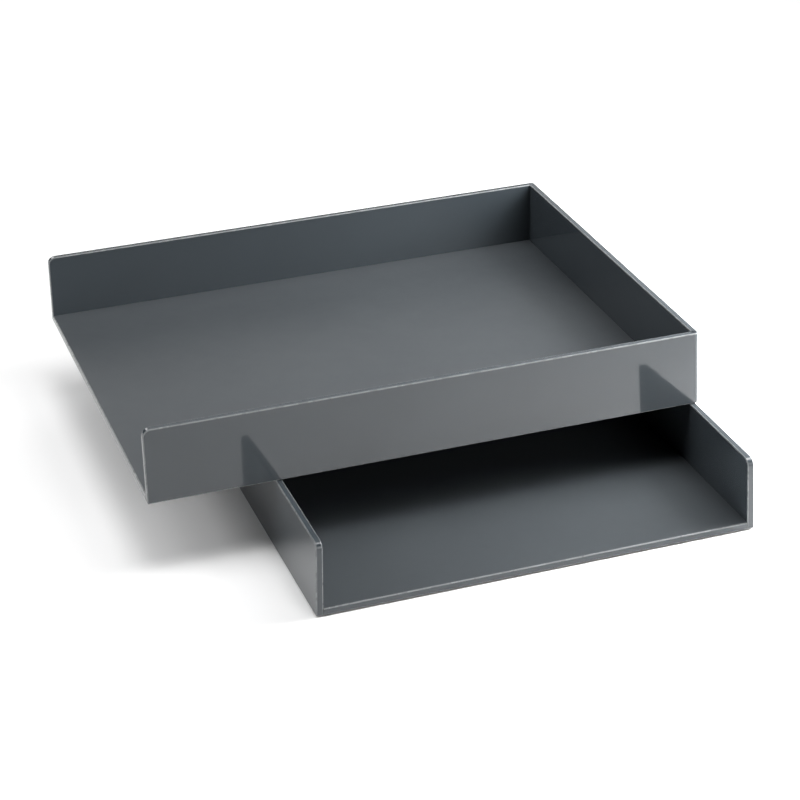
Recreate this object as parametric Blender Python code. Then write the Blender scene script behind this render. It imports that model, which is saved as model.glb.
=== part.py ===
"""Letter trays: two identical three-walled trays, the upper one set crosswise on the rims of the lower.

Each tray is a floor panel between two side walls and an end wall, open at one short end (the mouth),
and stands on four round pads let into its underside. Metres, +Z up. The origin is the bottom centre
of the whole stack, with the lower tray's mouth towards -Y and the upper tray's mouth towards -X.
"""

import math

import bmesh
import bpy
from mathutils import Vector

# Tray, outside
TRAY_WIDTH = 0.254
TRAY_LENGTH = 0.3235
WALL_HEIGHT = 0.0433
SIDE_LEAN = 0.0018  # how far a side wall's outer face stands in at the rim
END_LEAN = 0.0005  # the same for the end wall's outer face and for the mouth

# Panels
WALL_AT_BASE = 0.0041
WALL_AT_RIM = 0.0037
FLOOR_THICKNESS = 0.0041
JOINT_GAP = 0.0003

# Roundings
MOUTH_CORNER_RADIUS = 0.0045
MOUTH_CORNER_STEPS = 10
END_CORNER_RADIUS = 0.0026
END_CORNER_STEPS = 6
EASED_EDGE = 0.0006
EASED_EDGE_STEPS = 3
SHARP_ANGLE = math.radians(40)

# Foot pads
FOOT_RADIUS = 0.0065
FOOT_DROP = 0.0007  # how far a pad stands out below the floor panel
FOOT_CHAMFER = 0.0003
FOOT_INSET = 0.022  # from the tray's outer faces to a pad's centre
POCKET_DEPTH = 0.0008
ROUND_STEPS = 40

# Stack
UPPER_SETBACK = 0.073  # from the lower tray's mouth back to the upper tray's front wall
STACK_DEPTH = UPPER_SETBACK + TRAY_WIDTH
LOWER_CENTRE = ((TRAY_LENGTH - TRAY_WIDTH) / 2, (TRAY_LENGTH - STACK_DEPTH) / 2)
UPPER_CENTRE = (0.0, UPPER_SETBACK / 2)
LOWER_BASE = FOOT_DROP
UPPER_BASE = LOWER_BASE + WALL_HEIGHT + JOINT_GAP
CROSSWISE = math.radians(-90)

HALF_WIDTH = TRAY_WIDTH / 2
HALF_LENGTH = TRAY_LENGTH / 2

# Finishes: colour, roughness, coat
WALL_FINISH = ((0.043, 0.051, 0.058), 0.06, 0.6)
FLOOR_FINISH = ((0.057, 0.064, 0.070), 0.38, 0.1)
RUBBER_FINISH = ((0.020, 0.020, 0.021), 0.80, 0.0)


def clear_scene():
    for thing in list(bpy.data.objects):
        bpy.data.objects.remove(thing, do_unlink=True)


def new_collection(name):
    group = bpy.data.collections.new(name)
    bpy.context.scene.collection.children.link(group)
    return group


def principled(name, finish):
    colour, roughness, coat = finish
    material = bpy.data.materials.new(name)
    material.use_nodes = True
    shader = material.node_tree.nodes["Principled BSDF"]
    shader.inputs["Base Color"].default_value = (*colour, 1.0)
    shader.inputs["Roughness"].default_value = roughness
    shader.inputs["Metallic"].default_value = 0.0
    shader.inputs["Coat Weight"].default_value = coat
    return material


def add_object(name, bm, group, parent, finish=None):
    """Makes an object of a bmesh, smooth except across its sharp edges."""
    mesh = bpy.data.meshes.new(name)
    bm.normal_update()
    bmesh.ops.recalc_face_normals(bm, faces=bm.faces)
    bm.to_mesh(mesh)
    bm.free()
    mesh.shade_smooth()
    mesh.set_sharp_from_angle(angle=SHARP_ANGLE)
    thing = bpy.data.objects.new(name, mesh)
    group.objects.link(thing)
    thing.parent = parent
    if finish:
        mesh.materials.append(principled(name + "_finish", finish))
    return thing


def near(value, target):
    return abs(value - target) < 1e-5


def box(low, high):
    """A bmesh box between two opposite corners."""
    low, high = Vector(low), Vector(high)
    bm = bmesh.new()
    bmesh.ops.create_cube(bm, size=1.0)
    bmesh.ops.scale(bm, vec=high - low, verts=bm.verts)
    bmesh.ops.translate(bm, vec=(low + high) / 2, verts=bm.verts)
    return bm


def round_edges(bm, chosen, radius, steps):
    """Rounds the sharp edges whose middle chosen() accepts."""
    picked = []
    for edge in bm.edges:
        middle = (edge.verts[0].co + edge.verts[1].co) / 2
        if edge.calc_face_angle() > SHARP_ANGLE and chosen(middle):
            picked.append(edge)
    bmesh.ops.bevel(
        bm, geom=picked, offset=radius, segments=steps, profile=0.5, affect="EDGES", clamp_overlap=True
    )


def outer_offset(z, lean):
    """How far a leaning wall's outer face stands in from its base edge, at height z."""
    return lean * z / WALL_HEIGHT


def inner_offset(z, lean):
    """The same for its inner face: the wall leans, and it is thinner at the rim."""
    return WALL_AT_BASE + (lean + WALL_AT_RIM - WALL_AT_BASE) * z / WALL_HEIGHT


def lean_in(through, z, lean):
    """A point's place in a leaning wall; through is 0 on the outer face and 1 on the inner one."""
    return outer_offset(z, lean) * (1 - through) + inner_offset(z, lean) * through


def split_across(bm, y):
    """Cuts every face at y, so that an edge can be rounded on one side of it only."""
    bmesh.ops.bisect_plane(
        bm, geom=[*bm.verts, *bm.edges, *bm.faces], plane_co=(0, y, 0), plane_no=(0, 1, 0), dist=1e-6
    )


def side_wall(side):
    """A long wall, full length and full height. side is -1 for the left wall and 1 for the right one."""
    bm = box((0, -HALF_LENGTH, 0), (WALL_AT_BASE, HALF_LENGTH, WALL_HEIGHT))
    end_wall_face = HALF_LENGTH - WALL_AT_BASE
    split_across(bm, end_wall_face)

    def mouth_corner(middle):
        return near(middle.y, -HALF_LENGTH) and near(middle.z, WALL_HEIGHT)

    def outer_end_corner(middle):
        return near(middle.x, 0) and near(middle.y, HALF_LENGTH)

    def exposed(middle):
        on_inner_face = near(middle.x, WALL_AT_BASE)
        return not on_inner_face or (middle.y < end_wall_face and middle.z > 0)

    round_edges(bm, mouth_corner, MOUTH_CORNER_RADIUS, MOUTH_CORNER_STEPS)
    round_edges(bm, outer_end_corner, END_CORNER_RADIUS, END_CORNER_STEPS)
    round_edges(bm, exposed, EASED_EDGE, EASED_EDGE_STEPS)
    for vert in bm.verts:
        x, y, z = vert.co
        vert.co.x = side * (HALF_WIDTH - lean_in(x / WALL_AT_BASE, z, SIDE_LEAN))
        vert.co.y = y - math.copysign(outer_offset(z, END_LEAN), y)
    return bm


def end_wall():
    """The short wall that closes the tray, standing between the side walls."""
    half = HALF_WIDTH - WALL_AT_BASE - JOINT_GAP
    bm = box((-half, 0, 0), (half, WALL_AT_BASE, WALL_HEIGHT))

    def exposed(middle):
        along_rim = near(middle.x, 0) and near(middle.z, WALL_HEIGHT)
        outer_base = near(middle.x, 0) and near(middle.y, 0)
        return along_rim or outer_base

    round_edges(bm, exposed, EASED_EDGE, EASED_EDGE_STEPS)
    for vert in bm.verts:
        x, y, z = vert.co
        vert.co.x = x - math.copysign(inner_offset(z, SIDE_LEAN) - WALL_AT_BASE, x)
        vert.co.y = HALF_LENGTH - lean_in(y / WALL_AT_BASE, z, END_LEAN)
    return bm


def floor_panel():
    """The floor, between the three walls, with its front edge level with the walls' ends."""
    half = HALF_WIDTH - WALL_AT_BASE - JOINT_GAP
    back = HALF_LENGTH - WALL_AT_BASE - JOINT_GAP
    bm = box((-half, -HALF_LENGTH, 0), (half, back, FLOOR_THICKNESS))

    def front_edges(middle):
        return near(middle.x, 0) and near(middle.y, -HALF_LENGTH)

    round_edges(bm, front_edges, EASED_EDGE, EASED_EDGE_STEPS)
    for vert in bm.verts:
        x, y, z = vert.co
        vert.co.x = x - math.copysign(inner_offset(z, SIDE_LEAN) - WALL_AT_BASE, x)
        vert.co.y = y - math.copysign(outer_offset(z, END_LEAN), y)
    return bm


def disc(radius, bottom, top):
    bm = bmesh.new()
    bmesh.ops.create_cone(
        bm, cap_ends=True, segments=ROUND_STEPS, radius1=radius, radius2=radius, depth=top - bottom
    )
    bmesh.ops.translate(bm, vec=(0, 0, (top + bottom) / 2), verts=bm.verts)
    return bm


def foot_pad():
    """A round rubber pad, in its pocket and standing out below the floor panel."""
    bm = disc(FOOT_RADIUS, -FOOT_DROP, POCKET_DEPTH - JOINT_GAP)
    lower_rim = [e for e in bm.edges if all(near(v.co.z, -FOOT_DROP) for v in e.verts)]
    bmesh.ops.bevel(bm, geom=lower_rim, offset=FOOT_CHAMFER, segments=2, profile=0.5, affect="EDGES")
    return bm


def foot_places():
    """The four pads' names and centres under a tray."""
    across, along = HALF_WIDTH - FOOT_INSET, HALF_LENGTH - FOOT_INSET
    for row, y in (("mouth", -along), ("end", along)):
        for side, x in (("left", -across), ("right", across)):
            yield f"{row}_{side}", (x, y, 0)


def cut_pocket(panel, name, centre, cutters, parent):
    """Cuts a shallow round pocket for a pad into the floor panel's underside."""
    cutter = add_object(name, disc(FOOT_RADIUS + JOINT_GAP, -POCKET_DEPTH, POCKET_DEPTH), cutters, parent)
    cutter.location = centre
    cutter.hide_render = True
    cutter.display_type = "WIRE"
    cut = panel.modifiers.new(name, "BOOLEAN")
    cut.operation = "DIFFERENCE"
    cut.object = cutter


def build_tray(prefix, centre, base, turn, parts, cutters):
    tray = bpy.data.objects.new(f"{prefix}_tray", None)
    parts.objects.link(tray)
    tray.location = (*centre, base)
    tray.rotation_euler.z = turn

    add_object(f"{prefix}_left_wall", side_wall(-1), parts, tray, WALL_FINISH)
    add_object(f"{prefix}_right_wall", side_wall(1), parts, tray, WALL_FINISH)
    add_object(f"{prefix}_end_wall", end_wall(), parts, tray, WALL_FINISH)
    floor = add_object(f"{prefix}_floor_panel", floor_panel(), parts, tray, FLOOR_FINISH)
    for place, spot in foot_places():
        foot = add_object(f"{prefix}_foot_{place}", foot_pad(), parts, tray, RUBBER_FINISH)
        foot.location = spot
        cut_pocket(floor, f"{prefix}_pocket_{place}", spot, cutters, tray)


def main():
    clear_scene()
    parts = new_collection("letter_trays")
    cutters = new_collection("letter_trays_cutters")
    build_tray("lower", LOWER_CENTRE, LOWER_BASE, 0.0, parts, cutters)
    build_tray("upper", UPPER_CENTRE, UPPER_BASE, CROSSWISE, parts, cutters)


main()
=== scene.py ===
"""Two letter trays, the upper one set crosswise on the lower: surfaces, materials, light and camera.

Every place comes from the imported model. Each tray is shaped in its own space, with x across it, y from
the open mouth to the end wall and z up from the panels' base, and is then set where the model has it.
"""

import math

import bmesh
import bpy
from mathutils import Matrix, Vector


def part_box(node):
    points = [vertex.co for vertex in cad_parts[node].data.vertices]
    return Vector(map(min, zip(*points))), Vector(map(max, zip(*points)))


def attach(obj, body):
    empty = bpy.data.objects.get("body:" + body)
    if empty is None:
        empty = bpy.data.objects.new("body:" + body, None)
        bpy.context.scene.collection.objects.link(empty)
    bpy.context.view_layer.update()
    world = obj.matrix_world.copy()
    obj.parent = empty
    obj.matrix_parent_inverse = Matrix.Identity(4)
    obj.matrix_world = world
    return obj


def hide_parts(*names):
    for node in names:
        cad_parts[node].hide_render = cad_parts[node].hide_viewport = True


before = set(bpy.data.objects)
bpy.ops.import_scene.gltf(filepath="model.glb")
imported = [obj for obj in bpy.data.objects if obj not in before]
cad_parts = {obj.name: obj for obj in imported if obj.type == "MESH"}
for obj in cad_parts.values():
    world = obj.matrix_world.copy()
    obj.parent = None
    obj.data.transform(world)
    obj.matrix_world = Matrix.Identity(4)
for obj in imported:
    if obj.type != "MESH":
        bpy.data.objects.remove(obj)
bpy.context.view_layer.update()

TRAYS = ("lower", "upper")

# Panels, in metres
WALL_AT_BASE = 0.0041
WALL_AT_RIM = 0.0037
END_LEAN = 0.0005  # how far the end wall and the mouth stand in at the rim
SEAM = 0.0001  # the joint line left between bonded panels

# Roundings, in metres
MOUTH_CORNER_RADIUS = 0.0045
MOUTH_CORNER_STEPS = 24
END_CORNER_RADIUS = 0.0026
END_CORNER_STEPS = 12
EASED_EDGE = 0.0006
EASED_EDGE_STEPS = 5
SHARP_ANGLE = math.radians(40)
NEAR = 1e-5

# Places in a panel's list of materials; the first is its own plastic
# the eased edges' material, painted paler as a highlight along them
ARRIS = 1
POLISHED = 2

# Foot pads
POCKET_DEPTH = 0.0008
POCKET_CLEARANCE = 0.0003
PAD_STEPS = 96
PAD_EDGE_RADIUS = 0.0005
PAD_EDGE_STEPS = 8
PAD_DISH_RADIUS = 0.0042  # the shallow dish in a pad's underside
PAD_DISH_DEPTH = 0.0002

# Camera
CAMERA_PLACE = Vector((-0.3755, -1.1653, 0.6511))
CAMERA_AIM = Vector((0.0039, -0.0230, 0.0440))
CAMERA_ROLL = math.radians(-1.60)
CAMERA_LENS_MM = 105.05
CAMERA_SENSOR_MM = 36.0
CAMERA_REACH = 100.0

# Plastics
PLASTIC_IOR = 1.5
SATIN_SPECULAR_LEVEL = 0.36

# Studio
FLOOR_SIDE = 24.0
FLOOR_TONE = 0.93
FLOOR_ROUGHNESS = 0.9
BACKGROUND_STRENGTH = 0.9
LAMP_AIM_REACH = 0.1  # each lamp aims at the floor, this far from the middle on its own side
# name, azimuth and elevation in degrees, distance, width, radiance
LAMPS = (
    ("key_low", -12, 27.5, 0.475, 0.3, 21.4),
    ("key_middle", -16, 48, 0.54, 0.25, 10.4),
    ("key_front", -34, 44, 0.5, 0.25, 1.7),
    ("key_high", -20, 67, 0.76, 0.3, 4.2),
    ("overhead", 0, 90, 6.4, 4.0, 3.1),
    ("overhead_front", -72, 75, 6.4, 2.6, 5.5),
    ("left_high", 180, 60, 6.4, 3.2, 2.3),
    ("left", 180, 35, 6.4, 2.6, 10.4),
    ("front_low", -72, 20, 6.4, 3.2, 3.8),
    ("back_right_low", 30, 12, 6.4, 2.6, 8.3),
    ("back", 100, 22, 6.4, 2.0, 4.3),
    ("sweep", 72, 27, 6.4, 4.8, 0.7),
)

# --- The trays' own spaces -----------------------------------------------------------------------


class Tray:
    """One tray's size and its place in the model."""

    def __init__(self, prefix):
        self.prefix = prefix
        self.body = f"{prefix}_tray"
        walls = [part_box(f"{prefix}_{side}_wall") for side in ("left", "right", "end")]
        low = Vector([min(wall[0][k] for wall in walls) for k in range(3)])
        high = Vector([max(wall[1][k] for wall in walls) for k in range(3)])
        end_low, end_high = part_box(f"{prefix}_end_wall")
        towards_end = (end_low + end_high - low - high) / 2
        turn = math.atan2(-towards_end.x, towards_end.y)
        across, along = (0, 1) if abs(towards_end.y) > abs(towards_end.x) else (1, 0)

        centre = (low + high) / 2
        self.place = Matrix.Translation((centre.x, centre.y, low.z)) @ Matrix.Rotation(turn, 4, "Z")
        self.half_width = (high[across] - low[across]) / 2
        self.half_length = (high[along] - low[along]) / 2
        self.height = high.z - low.z

        left_low, left_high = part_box(f"{prefix}_left_wall")
        rim_to_base = left_high[across] - left_low[across]
        self.side_lean = rim_to_base - WALL_AT_RIM
        floor_low, floor_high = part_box(f"{prefix}_floor_panel")
        self.floor_thickness = floor_high.z - floor_low.z
        self.feet = [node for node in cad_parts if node.startswith(f"{prefix}_foot")]

    def foot_box(self, node):
        """A foot pad's centre, radius, underside and top in the tray's space."""
        low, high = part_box(node)
        centre = self.place.inverted() @ ((low + high) / 2)
        base = self.place.translation.z
        return Vector((centre.x, centre.y, 0)), (high.x - low.x) / 2, low.z - base, high.z - base

    def outer_offset(self, z, lean):
        """How far a leaning wall's outer face stands in from its base edge, at height z."""
        return lean * z / self.height

    def inner_offset(self, z, lean):
        """The same for the inner face; a wall is thinner at its rim."""
        return WALL_AT_BASE + (lean + WALL_AT_RIM - WALL_AT_BASE) * z / self.height

    def lean_in(self, through, z, lean):
        """A place in a leaning wall, where through is 0 on its outer face and 1 on its inner one."""
        return self.outer_offset(z, lean) * (1 - through) + self.inner_offset(z, lean) * through


# --- Mesh tools ----------------------------------------------------------------------------------


def near(value, target):
    return abs(value - target) < NEAR


def box(low, high):
    """A bmesh box between two opposite corners."""
    low, high = Vector(low), Vector(high)
    bm = bmesh.new()
    bmesh.ops.create_cube(bm, size=1.0)
    bmesh.ops.scale(bm, vec=high - low, verts=bm.verts)
    bmesh.ops.translate(bm, vec=(low + high) / 2, verts=bm.verts)
    return bm


def round_edges(bm, chosen, radius, steps, material=-1):
    """Rounds the sharp edges whose middle chosen() accepts, maybe with a material of their own."""
    picked = []
    for edge in bm.edges:
        middle = (edge.verts[0].co + edge.verts[1].co) / 2
        if edge.calc_face_angle() > SHARP_ANGLE and chosen(middle):
            picked.append(edge)
    bmesh.ops.bevel(
        bm,
        geom=picked,
        offset=radius,
        segments=steps,
        profile=0.5,
        affect="EDGES",
        clamp_overlap=True,
        material=material,
    )


def scratch_object(bm, name):
    mesh = bpy.data.meshes.new(name)
    bm.to_mesh(mesh)
    bm.free()
    thing = bpy.data.objects.new(name, mesh)
    bpy.context.scene.collection.objects.link(thing)
    return thing


def cut_away(bm, cutter_bm):
    """Subtracts one closed bmesh from another."""
    block = scratch_object(bm, "block")
    cutter = scratch_object(cutter_bm, "cutter")
    cut = block.modifiers.new("cut", "BOOLEAN")
    cut.operation = "DIFFERENCE"
    cut.object = cutter
    result = bmesh.new()
    result.from_object(block, bpy.context.evaluated_depsgraph_get())
    for thing in (block, cutter):
        bpy.data.meshes.remove(thing.data)
    return result


def finish_piece(bm, name, tray, node, materials):
    """Makes the piece of a bmesh in the tray's space, in place of its CAD node."""
    bm.normal_update()
    bmesh.ops.recalc_face_normals(bm, faces=bm.faces)
    mesh = bpy.data.meshes.new(name)
    bm.to_mesh(mesh)
    bm.free()
    mesh.shade_smooth()
    mesh.set_sharp_from_angle(angle=SHARP_ANGLE)
    for material in materials:
        mesh.materials.append(material)
    piece = bpy.data.objects.new(name, mesh)
    bpy.context.scene.collection.objects.link(piece)
    piece.matrix_world = tray.place
    even = piece.modifiers.new("even_shading", "WEIGHTED_NORMAL")
    even.keep_sharp = True
    even.weight = 100  # the large faces decide, so they shade flat up to their eased edges
    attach(piece, tray.body)
    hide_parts(node)
    return piece


# --- Pieces --------------------------------------------------------------------------------------


def side_wall(tray, side):
    """A long wall. side is -1 for the left wall and 1 for the right one."""
    end_wall_face = tray.half_length - WALL_AT_BASE
    bm = box((0, -tray.half_length, 0), (WALL_AT_BASE, tray.half_length, tray.height))
    bmesh.ops.bisect_plane(
        bm,
        geom=[*bm.verts, *bm.edges, *bm.faces],
        plane_co=(0, end_wall_face, 0),
        plane_no=(0, 1, 0),
        dist=1e-6,
    )

    def mouth_corner(middle):
        return near(middle.y, -tray.half_length) and near(middle.z, tray.height)

    def outer_end_corner(middle):
        return near(middle.x, 0) and near(middle.y, tray.half_length)

    def exposed(middle):
        on_inner_face = near(middle.x, WALL_AT_BASE)
        return not on_inner_face or (middle.y < end_wall_face and middle.z > 0)

    round_edges(bm, mouth_corner, MOUTH_CORNER_RADIUS, MOUTH_CORNER_STEPS)
    round_edges(bm, outer_end_corner, END_CORNER_RADIUS, END_CORNER_STEPS)
    round_edges(bm, exposed, EASED_EDGE, EASED_EDGE_STEPS, ARRIS)
    for vert in bm.verts:
        x, y, z = vert.co
        vert.co.x = side * (tray.half_width - tray.lean_in(x / WALL_AT_BASE, z, tray.side_lean))
        vert.co.y = y - math.copysign(tray.outer_offset(z, END_LEAN), y)
    return bm


def end_wall(tray):
    """The short wall that closes the tray, between the side walls."""
    half = tray.half_width - WALL_AT_BASE - SEAM
    bm = box((-half, 0, 0), (half, WALL_AT_BASE, tray.height))

    def exposed(middle):
        along_rim = near(middle.x, 0) and near(middle.z, tray.height)
        outer_base = near(middle.x, 0) and near(middle.y, 0)
        return along_rim or outer_base

    round_edges(bm, exposed, EASED_EDGE, EASED_EDGE_STEPS, ARRIS)
    for vert in bm.verts:
        x, y, z = vert.co
        vert.co.x = x - math.copysign(tray.inner_offset(z, tray.side_lean) - WALL_AT_BASE, x)
        vert.co.y = tray.half_length - tray.lean_in(y / WALL_AT_BASE, z, END_LEAN)
    return bm


def floor_panel(tray):
    """The floor between the three walls."""
    half = tray.half_width - WALL_AT_BASE - SEAM
    back = tray.half_length - WALL_AT_BASE - SEAM
    bm = box((-half, -tray.half_length, 0), (half, back, tray.floor_thickness))

    def front_edges(middle):
        return near(middle.x, 0) and near(middle.y, -tray.half_length)

    round_edges(bm, front_edges, EASED_EDGE, EASED_EDGE_STEPS, ARRIS)
    for face in bm.faces:
        if near(face.calc_center_median().y, -tray.half_length):
            face.material_index = POLISHED
    for vert in bm.verts:
        x, y, z = vert.co
        vert.co.x = x - math.copysign(tray.inner_offset(z, tray.side_lean) - WALL_AT_BASE, x)
        vert.co.y = y - math.copysign(tray.outer_offset(z, END_LEAN), y)
    return cut_away(bm, pockets(tray))


def pockets(tray):
    """The round pockets that the foot pads sit in, as one cutter."""
    bm = bmesh.new()
    for node in tray.feet:
        centre, radius, _, _ = tray.foot_box(node)
        bmesh.ops.create_cone(
            bm,
            cap_ends=True,
            segments=PAD_STEPS,
            radius1=radius + POCKET_CLEARANCE,
            radius2=radius + POCKET_CLEARANCE,
            depth=2 * POCKET_DEPTH,
            matrix=Matrix.Translation(centre),
        )
    return bm


def foot_pad(tray, node):
    """A round pad: flat top in its pocket, rounded lower edge, and a shallow dish in its underside."""
    centre, radius, underside, top = tray.foot_box(node)
    profile = [(0, underside + PAD_DISH_DEPTH)]
    for step in range(PAD_EDGE_STEPS + 1):
        angle = math.pi * step / PAD_EDGE_STEPS
        across = PAD_DISH_RADIUS + PAD_EDGE_RADIUS * (1 - math.cos(angle))
        profile.append((across, underside + PAD_DISH_DEPTH * (1 + math.cos(angle)) / 2))
    for step in range(PAD_EDGE_STEPS + 1):
        angle = math.pi / 2 * step / PAD_EDGE_STEPS
        rounding = PAD_EDGE_RADIUS * (1 - math.cos(angle))
        profile.append((radius - PAD_EDGE_RADIUS * (1 - math.sin(angle)), underside + rounding))
    profile += [(radius, top), (0, top)]
    bm = bmesh.new()
    verts = [bm.verts.new((across, 0, z)) for across, z in profile]
    edges = [bm.edges.new(pair) for pair in zip(verts, verts[1:])]
    bmesh.ops.spin(
        bm, geom=[*verts, *edges], cent=(0, 0, 0), axis=(0, 0, 1), angle=2 * math.pi, steps=PAD_STEPS
    )
    bmesh.ops.remove_doubles(bm, verts=bm.verts, dist=1e-7)
    bmesh.ops.translate(bm, vec=centre, verts=bm.verts)
    return bm


# --- Materials -----------------------------------------------------------------------------------


class Finish:
    """A material on a Principled BSDF, with its textures in the piece's own space."""

    def __init__(self, name):
        self.material = bpy.data.materials.new(name)
        self.material.use_nodes = True
        self.tree = self.material.node_tree
        self.shader = self.tree.nodes["Principled BSDF"]
        self.where = self.tree.nodes.new("ShaderNodeTexCoord").outputs["Object"]

    def fill(self, node, inputs):
        """Fills a node's inputs, each with a plain value or with another node's output."""
        for name, value in inputs.items():
            if isinstance(value, bpy.types.NodeSocket):
                self.tree.links.new(value, node.inputs[name])
            else:
                node.inputs[name].default_value = value

    def noise(self, scale, detail, roughness=0.5):
        node = self.tree.nodes.new("ShaderNodeTexNoise")
        inputs = {"Vector": self.where, "Scale": scale, "Detail": detail, "Roughness": roughness}
        self.fill(node, inputs)
        return node.outputs["Fac"]

    def spread(self, value, low, high):
        """Maps a noise value to a range; most of the noise lies between 0.3 and 0.7."""
        node = self.tree.nodes.new("ShaderNodeMapRange")
        inputs = {"Value": value, "From Min": 0.3, "From Max": 0.7, "To Min": low, "To Max": high}
        self.fill(node, inputs)
        return node.outputs["Result"]

    def two_tone(self, value, first, second):
        """Mixes two colours by a noise value."""
        node = self.tree.nodes.new("ShaderNodeMix")
        node.data_type = "RGBA"
        factor = self.spread(value, 0, 1)
        self.fill(node, {"Factor": factor, "A": (*first, 1.0), "B": (*second, 1.0)})
        return node.outputs["Result"]

    def bump(self, height, distance, strength):
        node = self.tree.nodes.new("ShaderNodeBump")
        self.fill(node, {"Height": height, "Distance": distance, "Strength": strength})
        return node

    def complete(self, inputs):
        """Fills the shader's inputs and gives the material."""
        self.fill(self.shader, inputs)
        return self.material


def wall_plastic():
    """Polished dark grey plastic: faint flow waves, and a bloom that dulls it in patches."""
    finish = Finish("wall_plastic")
    tone = finish.noise(scale=14, detail=3)
    bloom = finish.noise(scale=38, detail=5, roughness=0.6)
    waves = finish.bump(finish.noise(scale=130, detail=1), distance=0.00003, strength=0.25)
    grain = finish.bump(finish.noise(scale=2600, detail=2), distance=0.000004, strength=0.3)
    finish.fill(grain, {"Normal": waves.outputs["Normal"]})
    return finish.complete(
        {
            "Base Color": finish.two_tone(tone, (0.0345, 0.0415, 0.0475), (0.038, 0.046, 0.0525)),
            "Roughness": finish.spread(bloom, 0.05, 0.07),
            "Normal": grain.outputs["Normal"],
            "IOR": PLASTIC_IOR,
        }
    )


def arris_painted_highlight():
    """The eased edges: a paler grey than the faces, painted on as a highlight along them, and a duller,
    rougher finish.
    """
    finish = Finish("arris_painted_highlight")
    arris_noise = finish.noise(scale=150, detail=4, roughness=0.55)
    grain = finish.bump(finish.noise(scale=2400, detail=2), distance=0.000006, strength=0.25)
    return finish.complete(
        {
            # painted highlight: the edges' colour is about three times paler than the wall plastic's
            "Base Color": finish.two_tone(arris_noise, (0.122, 0.13, 0.134), (0.15, 0.158, 0.162)),
            "Roughness": finish.spread(arris_noise, 0.24, 0.32),
            "Normal": grain.outputs["Normal"],
            "IOR": PLASTIC_IOR,
        }
    )


def floor_plastic():
    """The same plastic with a fine satin grain."""
    finish = Finish("floor_plastic")
    tone = finish.noise(scale=11, detail=3)
    scuffs = finish.noise(scale=45, detail=5, roughness=0.6)
    grain = finish.bump(finish.noise(scale=2200, detail=3), distance=0.00001, strength=0.35)
    return finish.complete(
        {
            "Base Color": finish.two_tone(tone, (0.043, 0.0485, 0.0535), (0.047, 0.053, 0.058)),
            "Roughness": finish.spread(scuffs, 0.34, 0.42),
            "Normal": grain.outputs["Normal"],
            "IOR": PLASTIC_IOR,
            "Specular IOR Level": SATIN_SPECULAR_LEVEL,
        }
    )


def foot_rubber():
    """Matt black non-slip rubber with a little dust."""
    finish = Finish("foot_rubber")
    dust = finish.noise(scale=300, detail=4)
    grain = finish.bump(finish.noise(scale=1800, detail=3), distance=0.00005, strength=0.5)
    return finish.complete(
        {
            "Base Color": finish.two_tone(dust, (0.016, 0.016, 0.017), (0.028, 0.027, 0.026)),
            "Roughness": finish.spread(dust, 0.7, 0.9),
            "Normal": grain.outputs["Normal"],
        }
    )


def studio_white():
    """Plain matt white for the studio's floor."""
    material = bpy.data.materials.new("studio_floor")
    material.use_nodes = True
    shader = material.node_tree.nodes["Principled BSDF"]
    shader.inputs["Base Color"].default_value = (FLOOR_TONE, FLOOR_TONE, FLOOR_TONE, 1.0)
    shader.inputs["Roughness"].default_value = FLOOR_ROUGHNESS
    shader.inputs["Specular IOR Level"].default_value = 0.0
    return material


# --- Build ---------------------------------------------------------------------------------------


def build_tray(tray, wall, arris, floor, rubber):
    """Builds a tray's panels and pads. A panel's own plastic comes first in its list of materials."""
    walls = {
        "left_wall": side_wall(tray, -1),
        "right_wall": side_wall(tray, 1),
        "end_wall": end_wall(tray),
    }
    for name, bm in walls.items():
        node = f"{tray.prefix}_{name}"
        finish_piece(bm, f"{node}_panel", tray, node, (wall, arris))

    floor_name, floor_node = f"{tray.prefix}_floor", f"{tray.prefix}_floor_panel"
    floor_materials = (floor, arris, wall)
    finish_piece(floor_panel(tray), floor_name, tray, floor_node, floor_materials)

    for node in tray.feet:
        finish_piece(foot_pad(tray, node), f"{node}_pad", tray, node, (rubber,))


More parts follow.
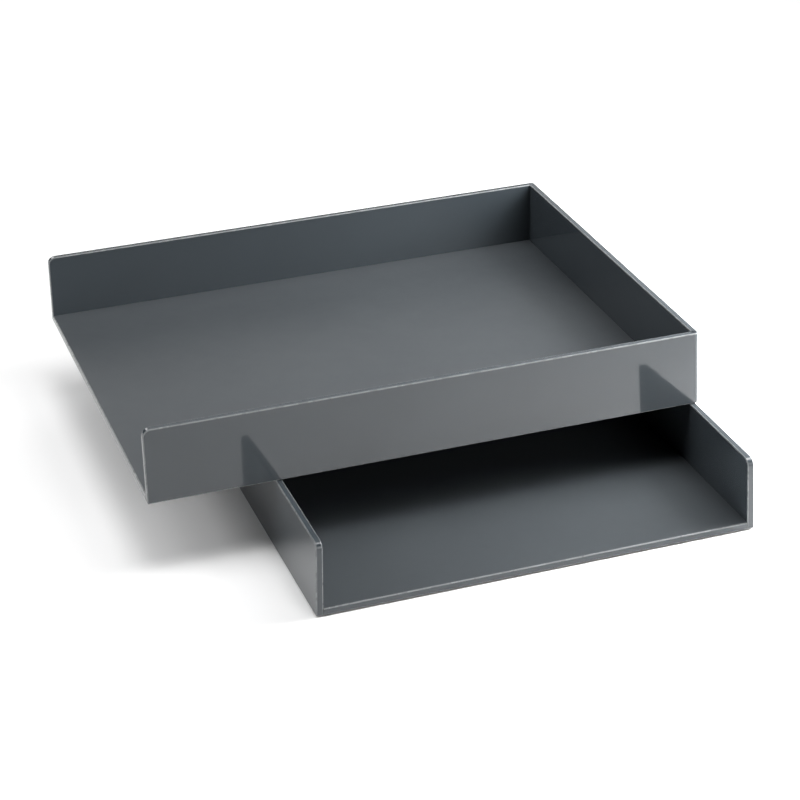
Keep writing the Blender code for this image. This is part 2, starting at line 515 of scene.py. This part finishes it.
def studio():
    """A pale floor under the lamps, and a pale background that only the camera sees."""
    bpy.ops.mesh.primitive_plane_add(size=FLOOR_SIDE)
    ground = bpy.context.object
    ground.name = "studio_floor"
    ground.data.materials.append(studio_white())

    world = bpy.data.worlds.new("studio")
    world.use_nodes = True
    background = world.node_tree.nodes["Background"]
    background.inputs["Color"].default_value = (1.0, 1.0, 1.0, 1.0)
    background.inputs["Strength"].default_value = BACKGROUND_STRENGTH
    bpy.context.scene.world = world
    world.cycles_visibility.diffuse = False
    world.cycles_visibility.glossy = False

    for settings in LAMPS:
        lamp(*settings)


def lamp(name, azimuth, elevation, distance, width, radiance):
    """A round lamp aimed at the trays, and hidden from the camera. Azimuth runs from +X towards +Y."""
    turn, rise = math.radians(azimuth), math.radians(elevation)
    outward = Vector((math.cos(turn), math.sin(turn), 0))
    place = outward * distance * math.cos(rise) + Vector((0, 0, distance * math.sin(rise)))
    light = bpy.data.lights.new(name, "AREA")
    light.shape = "DISK"
    light.size = width
    disc_area = math.pi * (width / 2) ** 2
    light.energy = radiance * math.pi * disc_area
    thing = bpy.data.objects.new(name, light)
    thing.location = place
    thing.rotation_euler = (outward * LAMP_AIM_REACH - place).to_track_quat("-Z", "Y").to_euler()
    thing.visible_camera = False
    bpy.context.scene.collection.objects.link(thing)


def camera():
    lens = bpy.data.cameras.new("camera")
    lens.lens = CAMERA_LENS_MM
    lens.sensor_width = CAMERA_SENSOR_MM
    lens.clip_end = CAMERA_REACH
    viewer = bpy.data.objects.new("camera", lens)
    level = (CAMERA_AIM - CAMERA_PLACE).to_track_quat("-Z", "Y").to_matrix().to_4x4()
    viewer.matrix_world = Matrix.Translation(CAMERA_PLACE) @ level @ Matrix.Rotation(CAMERA_ROLL, 4, "Z")
    bpy.context.scene.collection.objects.link(viewer)
    bpy.context.scene.camera = viewer


bpy.context.scene.view_settings.view_transform = "Standard"
finishes = (wall_plastic(), arris_painted_highlight(), floor_plastic(), foot_rubber())
for tray_name in TRAYS:
    build_tray(Tray(tray_name), *finishes)
studio()
camera()
